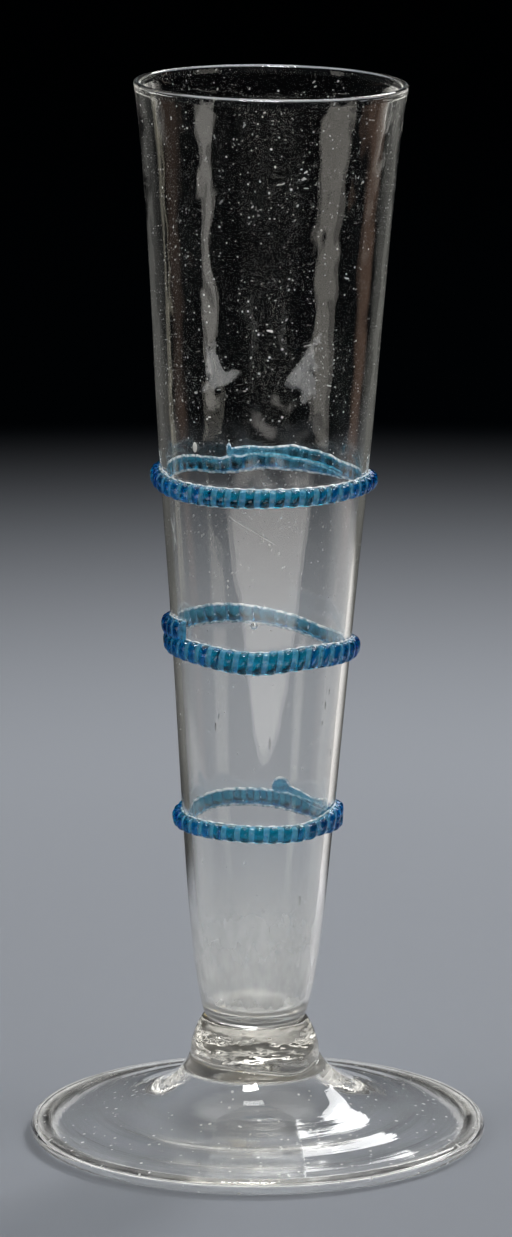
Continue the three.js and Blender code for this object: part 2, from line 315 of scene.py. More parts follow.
class FinishSettings(bpy.types.PropertyGroup):
    """Colours of the glass."""

    clear: colour("Clear glass", "#FDFDFC", "Tint of the clear glass at its surface")
    clear_depth: colour("Clear depth", "#E9E6DC", "What a thick piece of clear glass lets through")
    blue: colour("Blue glass", "#8FDDF5", "Tint of the blue glass at its surface")
    blue_depth: colour("Blue depth", "#00E6F6", "What a thick piece of blue glass lets through")
    # Painted shade: the pillows get this darker tint than the grooves, partly for their thicker glass
    # and partly for the dark that their curved faces bend in.
    pillow: colour("Pillows", "#52BCC8", "Tint of the blue glass where it swells between notches")
    broken: colour("Broken glass", "#E6E8E4", "Tint of the broken stub")


class StageSettings(bpy.types.PropertyGroup):
    """Floor, light and camera."""

    floor_colour: colour("Floor", "#9CA0A7", "Pale floor round the glass")
    far_colour: colour("Far floor", "#010203", "Where the floor falls out of the light")
    backdrop: colour("Backdrop", "#050608", "What glass mirrors of the dark room")
    pale_radius: length("Pale radius", 330, "The floor is evenly pale inside this radius")
    far_radius: length("Far radius", 900, "The floor has darkened at this radius")
    mirrored_radius: length("Mirrored radius", 235, "Glass mirrors the pale table from here out")
    mirrored_end: length("Mirrored end", 442, "Glass mirrors the pale table as far as this")
    tent: colour("Tent", "#F2F3F4", "What glass mirrors of the white tent overhead")
    ambient: share("Ambient", 0.33, "Strength of the light from all round")
    tent_strength: share("Tent strength", 1.8, "How bright the tent is")
    wall: colour("Low wall", "#F4F2EC", "What thick glass shows of the pale wall behind it")
    wall_strength: share("Wall strength", 1.8, "How bright that wall is")
    caustic: colour("Focused light", "#E6E4E0", "Light that the foot's edge has gathered on the floor")


class PassglasSettings(bpy.types.PropertyGroup):
    """All settings of the glass."""

    foot: PointerProperty(type=FootSettings)
    collar: PointerProperty(type=CollarSettings)
    bowl: PointerProperty(type=BowlSettings)
    threads: PointerProperty(type=ThreadSettings)
    finish: PointerProperty(type=FinishSettings)
    stage: PointerProperty(type=StageSettings)


# Mesh helpers


def mix(a, b, t):
    return a + (b - a) * t


def smooth_share(value, low, high):
    """0 at low and before, 1 at high and past it, and a soft step between."""
    t = min(max((value - low) / (high - low), 0), 1)
    return t * t * (3 - 2 * t)


def spread(start, end, steps, bend=1):
    """Values from one end to the other. A bend above 1 crowds them towards the start."""
    return [mix(start, end, (i / steps) ** bend) for i in range(steps + 1)]


def arc(r, z, radius, start, end, steps):
    """Points of an arc round (r, z), from one angle to another in degrees."""
    angles = [math.radians(a) for a in spread(start, end, steps)]
    return [(r + radius * math.cos(a), z + radius * math.sin(a)) for a in angles]


def turned(profile, steps):
    """A bmesh of a profile of (radius, height) points turned about Z."""
    bm = bmesh.new()
    verts = [bm.verts.new((max(r, 0), 0, z)) for r, z in profile]
    for pair in zip(verts, verts[1:]):
        bm.edges.new(pair)
    geom = bm.verts[:] + bm.edges[:]
    bmesh.ops.spin(
        bm, geom=geom, cent=(0, 0, 0), axis=(0, 0, 1), angle=math.tau, steps=steps, use_merge=True
    )
    bmesh.ops.remove_doubles(bm, verts=bm.verts, dist=0.5e-6)
    bmesh.ops.recalc_face_normals(bm, faces=bm.faces)
    return bm


def move_verts(bm, place):
    """Moves each vertex to where a function of its place says."""
    for vert in bm.verts:
        vert.co = place(vert.co)


def mark_contact(bm, height, radius):
    """Gives the level faces at a height, inside a radius, the material of a fused joint."""
    slack = 1e-6
    for face in bm.faces:
        level = all(abs(v.co.z - height) < slack for v in face.verts)
        if level and all(v.co.xy.length < radius + slack for v in face.verts):
            face.material_index = CONTACT


def leaned(bm, settings):
    """Moves what was shaped round the bowl's own axis to where the bowl stands and leans."""
    bmesh.ops.transform(bm, matrix=blown_frame(settings), verts=bm.verts)
    return bm


def finished(bm, name, materials, slot, *nodes):
    """A smooth object from a bmesh, which stands for CAD nodes and rides on the root body."""
    for face in bm.faces:
        face.smooth = True
    mesh = bpy.data.meshes.new(name)
    bm.to_mesh(mesh)
    bm.free()
    for material in materials:
        mesh.materials.append(material)
    piece = bpy.data.objects.new(name, mesh)
    bpy.context.scene.collection.objects.link(piece)
    if nodes:
        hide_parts(*nodes)
    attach(piece, "root")
    return piece


# Shape of the glass. All heights of the bowl and threads are above the bowl's base.


def seam_sag(settings, x, y):
    """How far the seam between neck and collar sags at a place, most at one spot of its edge."""
    edge = settings.collar.bottom_radius + settings.foot.neck_ledge
    away = math.hypot(x - edge * math.cos(SAG_ANGLE), y - edge * math.sin(SAG_ANGLE))
    return settings.foot.sag * math.exp(-((away / settings.foot.sag_spread) ** 2))


def blown_frame(settings):
    """Places what leans with the bowl: its own Z is the bowl's axis, from the bowl's base."""
    collar = settings.collar
    foot_of_bowl = settings.foot.neck_height + JOIN + collar.height
    lean = Matrix.Rotation(collar.lean, 4, "Y")
    return Matrix.Translation((collar.shift, 0, foot_of_bowl)) @ lean @ Matrix.Translation((0, 0, JOIN))


def bowl_height(settings):
    return settings.bowl.rim_height - settings.foot.neck_height - settings.collar.height - 2 * JOIN


def bowl_radius(settings, z):
    """Outer radius of the bowl at a height."""
    bowl = settings.bowl
    lip = bowl_height(settings) - bowl.rim_bead
    straight = bowl.base_radius + bowl.heel_tuck
    taper = (bowl.rim_radius - bowl.rim_flare - straight) / lip
    tuck = bowl.heel_tuck * math.exp(-max(z, 0) / bowl.heel_spread)
    belly = bowl.belly_swell * math.exp(-(((z - bowl.belly_height) / bowl.belly_spread) ** 2))
    flare = bowl.rim_flare * math.exp((z - lip) / bowl.flare_spread)
    return straight + taper * z - tuck + belly + flare


def out_of_round(angle, z):
    """How far the blown wall strays from round: an oval and a three-sided wave, which both twist
    slowly on the way up. The base is round, because it sits on the collar."""
    oval = 0.09 * MM * math.sin(2 * angle + 0.7 + z / (34 * MM))
    three_sided = 0.035 * MM * math.sin(3 * angle + 2.1 - z / (13 * MM))
    return (oval + three_sided) * smooth_share(z, 4 * MM, 30 * MM)


def on_blown_wall(point):
    """Moves a point of the bowl or of a thread with the wall's stray from round."""
    radius = point.xy.length
    if radius < 1e-6:
        return point
    grown = (radius + out_of_round(math.atan2(point.y, point.x), point.z)) / radius
    return Vector((point.x * grown, point.y * grown, point.z))


def bowl_profile(settings):
    """The bowl from the middle of its base, up the outside, over the lip and down the inside."""
    bowl = settings.bowl
    lip = bowl_height(settings) - bowl.rim_bead
    base = -JOIN / 2 + SEAM

    def wall(z):
        return mix(bowl.wall_at_base, bowl.wall_at_rim, z / lip)

    heights = [lip * math.sin(math.radians(a / 2)) ** 2 for a in spread(0, 180, 96)]
    outside = [(bowl_radius(settings, z), z) for z in heights if z > 2 * BASE_EDGE]
    lip_arc = arc(bowl.rim_radius - bowl.rim_bead, lip, bowl.rim_bead, 0, 180, 14)
    turn = bowl.floor + bowl.corner
    upright = [z for z in heights if turn < z < lip - bowl.rim_bead]
    inside = [(bowl_radius(settings, z) - wall(z), z) for z in upright]
    corner = bowl_radius(settings, turn) - wall(turn) - bowl.corner
    dome = [(r * bowl.kick_radius, z * bowl.kick_height) for r, z in arc(0, 0, 1, 0, 90, 24)]
    kick = [(r, bowl.floor + z) for r, z in dome]
    return [
        (0, base),
        (bowl.base_radius - BASE_EDGE, base),
        (bowl.base_radius - 0.4 * BASE_EDGE, base + 0.5 * BASE_EDGE),
        *outside,
        *lip_arc[1:],
        *reversed(inside),
        *arc(corner, turn, bowl.corner, 0, -90, 9),
        *kick,
    ]


def section(settings, height, width, thickness, pressed, sink):
    """One cross-section of a thread as (radius, height) points, from the wall round to the wall."""
    threads = settings.threads
    flared = width + 2 * threads.notch_flare * (1 - pressed)
    depth = thickness - min(threads.notch_depth, 0.5 * thickness) * pressed
    fullness = 0.72  # 1 is a half round, and less is squarer
    fillet = min(0.3 * MM, 0.2 * width)  # where it has run onto the wall
    line = min(0.6 * MM, 0.2 * width)  # height of the line of air against the bowl
    low = -0.5 * flared
    points = [(-sink, low + line), (-sink, low), (0, low - fillet)]
    points.append((0.12 * depth, low - 0.3 * fillet))
    for degrees in spread(-76, 76, 12):
        t = math.radians(degrees)
        out = depth * math.cos(t) ** fullness
        points.append((out, 0.5 * flared * math.copysign(abs(math.sin(t)) ** fullness, t)))
    points += [(out, -up) for out, up in reversed(points[:4])]
    return [(bowl_radius(settings, height + up) + out, height + up) for out, up in points]


def along(route, degrees):
    """Rise and width share of a route at an angle, on a smooth curve through its rows."""
    last = len(route) - 2
    i = min(max(sum(degrees >= row[0] for row in route) - 1, 0), last)
    before, start, end, after = (route[min(max(k, 0), last + 1)] for k in range(i - 1, i + 3))
    step = end[0] - start[0]
    t = (degrees - start[0]) / step
    found = []
    for column in (1, 2):
        slope_in = (end[column] - before[column]) / (end[0] - before[0]) * step
        slope_out = (after[column] - start[column]) / (after[0] - start[0]) * step
        a, b = start[column], end[column]
        found.append(
            a * (1 + 2 * t) * (1 - t) ** 2
            + slope_in * t * (1 - t) ** 2
            + b * t * t * (3 - 2 * t)
            - slope_out * t * t * (1 - t)
        )
    return found


def pressed_at(turns):
    """How deep the wheel has pressed: a flat groove, then a round pillow."""
    phase = turns % 1
    from_top = abs(phase - 0.5) / (0.5 - HALF_GROOVE)
    return 1 - math.sqrt(1 - min(from_top, 1) ** 2)


def thread_rings(settings, thread):
    """Cross-sections along a thread, each as degrees round the bowl, height, width, thickness, how
    deep it is pressed, and how full the thread is there."""
    threads = settings.threads
    base = thread["height"] - (blown_frame(settings) @ Vector((0, 0, 0))).z
    outside = bowl_radius(settings, base) + threads.thickness
    per_degree = math.radians(1) * outside
    route = thread["route"]
    start, end = route[0][0], route[-1][0]
    steps = round((end - start) * per_degree * CUTS_PER_NOTCH / threads.notch_pitch)
    rings = []
    for i in range(steps + 1):
        degrees = mix(start, end, i / steps)
        rise, part = along(route, degrees)
        thin = min(1, part)
        pressed = thin * pressed_at(i / CUTS_PER_NOTCH)
        thickness = threads.thickness * thin**0.6
        height = base + rise * thread["width"]
        start_tip = (degrees - start) * per_degree / threads.thickness
        ends = math.sqrt(1 - (1 - min(start_tip + 0.02, 1)) ** 2)
        if not thread["drop"]:
            end_tip = (end - degrees) * per_degree / threads.thickness
            ends *= math.sqrt(1 - (1 - min(end_tip, 1)) ** 2)
        size = (thread["width"] * part, thickness * max(ends, 0.03), pressed)
        rings.append((degrees, height, *size, thin))
    if thread["drop"]:
        drop_length, drop_width, drop_rise = (x * thread["width"] for x in thread["drop"])
        rise, part = along(route, end)
        for s in (0.06, 0.12, 0.2, 0.3, 0.42, 0.55, 0.68, 0.8, 0.9, 0.97, 0.995):
            size = math.sqrt(1 - (2 * s - 1) ** 2)
            neck = thread["width"] * part * (1 - smooth_share(s, 0, 0.4))
            width = max(drop_width * size, neck)
            height = base + rise * thread["width"] + drop_rise * size
            thickness = threads.thickness * max(size, neck / thread["width"])
            degrees = end + s * drop_length / per_degree
            rings.append((degrees, height, width, thickness, 0, part))
    return rings


def swept(settings, thread):
    """A bmesh of a thread: its first cross-section, extruded from ring to ring and closed."""
    rings = thread_rings(settings, thread)
    sink = settings.threads.sink
    slant = math.tan(math.radians(thread["slant"]))
    bm = bmesh.new()
    spot = bm.verts.layers.int.new("place in the section")
    # The pillow layer carries the painted shade of the pillows, and the edge layer the painted white
    # edge highlight.
    pillow = bm.verts.layers.float.new("pillow")
    edge = bm.verts.layers.float.new("edge")
    count = len(section(settings, *rings[0][1:5], sink))
    loop = bmesh.ops.create_circle(bm, segments=count, radius=1 * MM)["verts"]
    for i, vert in enumerate(loop):
        vert[spot] = i
    edges = bm.edges[:]

    def put(verts, ring):
        degrees, height, width, thickness, pressed, full = ring
        points = section(settings, height, width, thickness, pressed, sink)
        for vert in verts:
            r, z = points[vert[spot]]
            angle = math.radians(degrees) + slant * (z - height) / r
            # Painted shade: the pillow layer is evened out at the back, where they look alike.
            even = 0.7 * smooth_share(math.sin(angle), 0, 0.8)  # at the back they look alike
            vert[pillow] = mix((1 - pressed) * full, 0.6 * full, even)
            from_wall = min(vert[spot], count - 1 - vert[spot])
            vert[edge] = PAINTED_EDGE_HIGHLIGHT[from_wall] if from_wall < len(PAINTED_EDGE_HIGHLIGHT) else 0
            vert.co = (r * math.cos(angle), r * math.sin(angle), z)

    put(loop, rings[0])
    first = edges
    for ring in rings[1:]:
        grown = bmesh.ops.extrude_edge_only(bm, edges=edges)["geom"]
        edges = [g for g in grown if isinstance(g, bmesh.types.BMEdge)]
        put([g for g in grown if isinstance(g, bmesh.types.BMVert)], ring)
    bmesh.ops.holes_fill(bm, edges=first, sides=0)
    bmesh.ops.holes_fill(bm, edges=edges, sides=0)
    bmesh.ops.recalc_face_normals(bm, faces=bm.faces)
    return bm


def foot_roll(settings):
    """Radius of the foot's rolled edge, and how far from the axis its middle lies."""
    foot = settings.foot
    roll = (foot.plate_at_rim + foot.fold_slot + foot.flap) / 2
    return roll, foot.radius - roll


def foot_top(settings, r):
    """Height of the foot's upper face at a radius: a shallow cone that swells up to the neck."""
    foot = settings.foot
    roll, roll_centre = foot_roll(settings)
    neck = settings.collar.bottom_radius + foot.neck_ledge
    cone = 2 * roll + foot.slope * (roll_centre - r)
    swell = foot.neck_height - 2 * roll - foot.slope * (roll_centre - neck)
    from_neck = smooth_share(r, neck, neck + foot.wave_pitch)
    from_edge = smooth_share(r, roll_centre, roll_centre - foot.wave_pitch)
    wave = foot.wave * math.sin(math.tau * (r - neck) / foot.wave_pitch) * from_neck * from_edge
    return cone + swell * math.exp(-(r - neck) / foot.neck_flare) + wave


def foot_profile(settings):
    """The foot from the crown of its hollow, round the fold and up to the neck."""
    foot = settings.foot
    roll, roll_centre = foot_roll(settings)
    neck = settings.collar.bottom_radius + foot.neck_ledge

    def under(r):
        inward = (roll_centre - r) / (roll_centre - neck)
        return foot_top(settings, r) - mix(foot.plate_at_rim, foot.plate_at_neck, inward)

    crown = foot.neck_height - foot.plate_at_neck + foot.crown_rise
    flap_end = foot.flap / 2
    slot_end = foot.fold_slot / 2
    join = foot.neck_height + JOIN / 2 - SEAM
    crown_edge = [
        (mix(foot.crown_radius, neck, s), mix(crown, under(neck), smooth_share(s, 0, 1)))
        for s in spread(0, 1, 8)
    ]
    below = [(r, under(r)) for r in spread(neck, roll_centre, 44, 1.2)]
    above = [(r, foot_top(settings, r)) for r in spread(neck, roll_centre, 60, 1.4)]
    return [
        (0, crown),
        (foot.pontil_radius * STUB_JOINT, crown),
        *crown_edge,
        *below[1:-1],
        *arc(roll_centre, foot.flap + slot_end, slot_end, 90, -90, 6),
        *arc(foot.radius - foot.fold_width + flap_end, flap_end, flap_end, 90, 270, 10),
        *arc(roll_centre, roll, roll, -90, 90, 20),
        *reversed(above[:-1]),
        (neck - 0.4 * NECK_EDGE, join - 0.3 * NECK_EDGE),
        (neck - NECK_EDGE, join),
        (0, join),
    ]


# Materials

A, B, MIXED = 6, 7, 2  # where a Mix node has its two colours, and the mixture

# For a Map Range node that turns a value, from low to high, into a soft step between two others.
# Its inputs are the value, low, high, and what it gives at low and at high (0 and 1 if left out).
SOFT_STEP = {"interpolation_type": "SMOOTHSTEP"}

GLASS_IOR = 1.5
CLEAR_DENSITY = 6.0  # how fast clear and blue glass take up light on its way, per metre
BLUE_DENSITY = 920.0


def add(tree, kind, inputs=(), **settings):
    """Adds a shader node with its settings. Its inputs, in order or by name, each take a value,
    another node's socket, or a whole node, of which they take the first output."""
    node = tree.nodes.new(f"ShaderNode{kind}")
    for name, value in settings.items():
        setattr(node, name, value)
    for key, source in inputs.items() if isinstance(inputs, dict) else enumerate(inputs):
        if isinstance(source, bpy.types.Node):
            source = source.outputs[0]
        if isinstance(source, bpy.types.NodeSocket):
            tree.links.new(source, node.inputs[key])
        else:
            node.inputs[key].default_value = source
    return node


def new_material(name):
    """A material and its empty node tree."""
    material = bpy.data.materials.new(name)
    material.use_nodes = True
    material.node_tree.nodes.clear()
    return material, material.node_tree


def from_axis(tree, place):
    """How far a place is from the upright axis."""
    level = add(tree, "VectorMath", (place, (1, 1, 0)), operation="MULTIPLY")
    return add(tree, "VectorMath", (level,), operation="LENGTH").outputs["Value"]


def lumps(tree, place, size, detail=2, stretch=(1, 1, 1)):
    """Cloudy lumps about a size in metres across, stretched along each axis."""
    scaled = add(tree, "Mapping", {"Vector": place, "Scale": [1 / (size * s) for s in stretch]})
    return add(tree, "TexNoise", {"Vector": scaled, "Scale": 1, "Detail": detail})


def specks(tree, place, size, held, reach, hides):
    """How much scattered points hide, with the numbers of one of the rows above."""
    scaled = add(tree, "Mapping", {"Vector": place, "Scale": (1 / size,) * 3})
    cells = add(tree, "TexVoronoi", {"Vector": scaled, "Scale": 1, "Randomness": 1}).outputs
    drawn = add(tree, "SeparateColor", (cells["Color"],)).outputs
    kept = add(tree, "Math", (drawn[0], held), operation="LESS_THAN")
    radius = add(tree, "Math", (drawn[1], reach), operation="MULTIPLY")
    inside = add(tree, "Math", (cells["Distance"], radius), operation="LESS_THAN")
    point = add(tree, "Math", (kept, inside), operation="MULTIPLY")
    return add(tree, "Math", (point, hides), operation="MULTIPLY")


def band(tree, value, low, high, soft):
    """1 where a value lies between low and high, with soft ends."""
    rise = add(tree, "MapRange", (value, low - soft, low + soft), **SOFT_STEP)
    fall = add(tree, "MapRange", (value, high - soft, high + soft, 1, 0), **SOFT_STEP)
    return add(tree, "Math", (rise, fall), operation="MULTIPLY")


def glow(tree, shape, radiance, below):
    """Adds a shape's light to the colour below it."""
    light = add(tree, "VectorMath", {0: radiance, "Scale": shape}, operation="SCALE")
    return add(tree, "VectorMath", (below, light), operation="ADD")


def glass_surface(tree, tint, depth, density, normal, hidden=None, roughness=0, passes=(0.97, 0.45)):
    """Glass that bends light and tints with depth. Lamp light goes through it as a soft shadow: the
    shares in passes are what it lets through straight on and at a slant. Where hidden is above 0, a
    dry grey skin covers that share of it: dust or film in some glasses, painted light and painted
    highlights in others."""
    bare = 1 if hidden is None else add(tree, "Math", (1, hidden), operation="SUBTRACT")
    look = {"Base Color": (*tint, 1), "IOR": GLASS_IOR, "Roughness": roughness}
    glass = add(tree, "BsdfPrincipled", {**look, "Transmission Weight": bare, "Normal": normal})
    slanting = add(tree, "LayerWeight", {"Blend": 0.35}).outputs["Facing"]
    straight, slanted = ((*(part * c for c in tint), 1) for part in passes)
    passed = add(tree, "Mix", {0: slanting, A: straight, B: slanted}, data_type="RGBA")
    lit_through = add(tree, "BsdfTransparent", (passed.outputs[MIXED],))
    shadow = add(tree, "LightPath").outputs["Is Shadow Ray"]
    surface = add(tree, "MixShader", (shadow, glass, lit_through))
    volume = add(tree, "VolumeAbsorption", {"Color": (*depth, 1), "Density": density})
    add(tree, "OutputMaterial", {"Surface": surface, "Volume": volume})
    return glass


def painted_reflection_patches(tree, place, split):
    """How much of the wall the painted reflection patches cover. Their edges waver."""
    reach = 28.5  # millimetres from the axis, so that a turn becomes a length along the wall
    soft = 0.4  # half the width of an edge, in millimetres
    sway = add(tree, "MapRange", (lumps(tree, place, 4 * MM, 1), 0.3, 0.7, -1.2, 1.2), **SOFT_STEP)
    turn = add(tree, "Math", (split[1], split[0]), operation="ARCTAN2")
    across = add(tree, "Math", (turn, reach), operation="MULTIPLY")
    across = add(tree, "Math", (across, sway), operation="ADD")
    up = add(tree, "Math", (split[2], 1 / MM), operation="MULTIPLY")
    up = add(tree, "Math", (up, sway), operation="ADD")
    covered = 0
    for corners in PAINTED_REFLECTIONS:
        spots = [(math.radians(degrees) * reach, z) for degrees, z in corners]
        shape = 1
        for (u, v), (next_u, next_v) in zip(spots, spots[1:] + spots[:1]):
            size = math.hypot(next_u - u, next_v - v)
            side_u, side_v = (next_v - v) / size, (u - next_u) / size
            part = add(tree, "Math", (across, side_u), operation="MULTIPLY")
            rest = add(tree, "Math", (up, side_v), operation="MULTIPLY")
            outward = add(tree, "Math", (part, rest), operation="ADD")
            outward = add(tree, "Math", (outward, -(side_u * u + side_v * v)), operation="ADD")
            inside = add(tree, "MapRange", (outward, soft, -soft), **SOFT_STEP)
            shape = add(tree, "Math", (shape, inside), operation="MULTIPLY")
        covered = add(tree, "Math", (covered, shape), operation="ADD")
    return add(tree, "Math", (covered, PAINTED_REFLECTION_SHARE), operation="MULTIPLY")


def dust_and_seeds(tree, place, height):
    """White points in the blown wall: dust and fine pits, which lie in patches, and seeds. There
    are more of all three higher up."""
    upper = add(tree, "MapRange", (height, 95 * MM, 175 * MM, 0.12, 1), **SOFT_STEP)
    patches = add(tree, "MapRange", (lumps(tree, place, 15 * MM), 0.45, 0.62, 0.08, 1), **SOFT_STEP)
    crowded = add(tree, "Math", (patches, upper), operation="MULTIPLY")
    stray = (3 * MM, -2 * MM, 4 * MM)  # strews the dots unevenly
    strewn = add(tree, "VectorMath", (lumps(tree, place, 2.5 * MM), stray), operation="MULTIPLY")
    strewn = add(tree, "VectorMath", (place, strewn), operation="ADD")
    dust, pits = specks(tree, strewn, *DUST), specks(tree, strewn, *PITS)
    small = add(tree, "Math", (dust, pits), operation="ADD")
    small = add(tree, "Math", (small, crowded), operation="MULTIPLY")
    seeds = specks(tree, place, *FINE_SEEDS)
    seeds = add(tree, "Math", (seeds, upper), operation="MULTIPLY")
    return add(tree, "Math", (small, seeds), operation="ADD", use_clamp=True)


def dry_film_and_painted_reflections(tree, place, split):
    """Grey film that has dried on the wall, thick in the bottom of the bowl with a breath of it further
    up, and a pale ring round the foot of the floor's dome. Near the top it adds pale patches that are
    painted reflections."""
    height = split[2]
    film = add(tree, "MapRange", (height, 35 * MM, 68 * MM, 0.32, 0), **SOFT_STEP)
    lowest = add(tree, "MapRange", (height, 30 * MM, 37 * MM, 0.6, 1), **SOFT_STEP)
    film = add(tree, "Math", (film, lowest), operation="MULTIPLY")
    breath = add(tree, "MapRange", (height, 100 * MM, 165 * MM, 0.022, 0.0015), **SOFT_STEP)
    film = add(tree, "Math", (film, breath), operation="ADD")
    film = add(tree, "Math", (film, painted_reflection_patches(tree, place, split)), operation="ADD")
    ring = band(tree, from_axis(tree, place), 6 * MM, 8 * MM, 0.5 * MM)
    level = band(tree, height, 28.5 * MM, 31 * MM, 0.3 * MM)
    ring = add(tree, "Math", (ring, level), operation="MULTIPLY")
    ring = add(tree, "Math", (ring, 0.4), operation="MULTIPLY")
    film = add(tree, "Math", (film, ring), operation="ADD")
    cloudy = lumps(tree, place, 2.4 * MM, 3, (1, 1, 2.5))
    cloudy = add(tree, "MapRange", (cloudy, 0.3, 0.7, 0.85, 1.15), **SOFT_STEP)
    return add(tree, "Math", (film, cloudy), operation="MULTIPLY")


def blown_glass(finish):
    """upper part of the front. Dust, pits and seeds show as white points, dried film as grey, and pale
    patches near the top of the front are painted reflections."""
    material, tree = new_material("blown_soda_glass")
    place = add(tree, "TexCoord").outputs["Object"]
    split = add(tree, "SeparateXYZ", (place,)).outputs
    upper = add(tree, "MapRange", (split[2], 140 * MM, 180 * MM, 0.17, 1), **SOFT_STEP)
    front = add(tree, "MapRange", (split[1], -18 * MM, -22.5 * MM, 0.35, 1), **SOFT_STEP)
    strength = add(tree, "Math", (upper, front), operation="MULTIPLY")
    waver = lumps(tree, place, 6.5 * MM, 1, (1, 1, 2))
    waver = add(tree, "Math", (waver, strength), operation="MULTIPLY")
    normal = add(tree, "Bump", {"Height": waver, "Distance": 0.52 * MM})
    film, points = dry_film_and_painted_reflections(tree, place, split), dust_and_seeds(tree, place, split[2])
    hidden = add(tree, "Math", (film, points), operation="ADD", use_clamp=True)
    glass_surface(tree, finish.clear, finish.clear_depth, CLEAR_DENSITY, normal, hidden)
    return material


def tooled_glass(finish):
    """Soda glass, spun out and tooled hot: clear, with faint rings where the tool ran round. A pale
    matt share is painted along the fold's rings in patches, and on the neck where the collar joins it:
    painted light that brightens them."""
    material, tree = new_material("tooled_soda_glass")
    place = add(tree, "TexCoord").outputs["Object"]
    height = add(tree, "SeparateXYZ", (place,)).outputs[2]
    radius = from_axis(tree, place)
    rings = {"W": radius, "Scale": 1 / (1.1 * MM), "Detail": 2}
    rings = add(tree, "TexNoise", rings, noise_dimensions="1D")
    waver = add(tree, "Bump", {"Height": lumps(tree, place, 14 * MM, 1), "Distance": 0.08 * MM})
    normal = add(tree, "Bump", {"Height": rings, "Distance": 0.018 * MM, "Normal": waver})
    # Painted light: a pale matt share along the fold's rings, in patches.
    fold = add(tree, "MapRange", (radius, 44.8 * MM, 46.2 * MM), **SOFT_STEP)
    painted_ring_light = add(tree, "MapRange", (rings, 0.42, 0.58, 0, 0.18), **SOFT_STEP)
    fold = add(tree, "Math", (fold, painted_ring_light), operation="MULTIPLY")
    patches = add(tree, "MapRange", (lumps(tree, place, 9 * MM), 0.35, 0.6, 0.45, 1), **SOFT_STEP)
    fold = add(tree, "Math", (fold, patches), operation="MULTIPLY")
    # Painted light: a pale matt share on the neck where the collar joins it.
    neck = add(tree, "MapRange", (height, 12.5 * MM, 17 * MM, 0, 0.15), **SOFT_STEP)
    film = add(tree, "Math", (fold, neck), operation="ADD")
    seeds = specks(tree, place, *FOOT_SEEDS)
    hidden = add(tree, "Math", (film, seeds), operation="ADD", use_clamp=True)
    passes = (0.5, 0.15)  # the rings and the fold spread lamp light, so the foot's shadow is darker
    glass_surface(
        tree, finish.clear, finish.clear_depth, CLEAR_DENSITY, normal, hidden, passes=passes
    )
    return material


def gathered_glass(finish):
    """Soda glass in a thick gather: cords in it and a wavering skin bend what shows through. A pale
    matt share is painted over it in patches and along its base: painted light that brightens the
    gather."""
    material, tree = new_material("gathered_soda_glass")
    place = add(tree, "TexCoord").outputs["Object"]
    height = add(tree, "SeparateXYZ", (place,)).outputs[2]
    cords = lumps(tree, place, 6 * MM, 2, (1, 1, 0.5))
    normal = add(tree, "Bump", {"Height": cords, "Distance": 0.25 * MM})
    # Painted light: pale patches, and a pale band along the base.
    patches = lumps(tree, place, 4 * MM, 3, (1, 1, 0.5))
    patches = add(tree, "MapRange", (patches, 0.42, 0.62, 0, 0.1), **SOFT_STEP)
    low = add(tree, "MapRange", (height, 21.5 * MM, 18.5 * MM, 0, 0.14), **SOFT_STEP)
    painted_pale_light = add(tree, "Math", (patches, low), operation="ADD")
    glass_surface(tree, finish.clear, finish.clear_depth, CLEAR_DENSITY, normal, painted_pale_light)
    return material


def broken_glass(finish):
    """Soda glass, snapped off cold from the iron: clear, but rough and rippled like flint."""
    material, tree = new_material("broken_soda_glass")
    place = add(tree, "TexCoord").outputs["Object"]
    ripples = lumps(tree, place, 1.1 * MM, 3)
    normal = add(tree, "Bump", {"Height": ripples, "Distance": 0.4 * MM})
    glass_surface(
        tree, finish.broken, finish.clear_depth, CLEAR_DENSITY, normal, roughness=0.22
    )
    return material


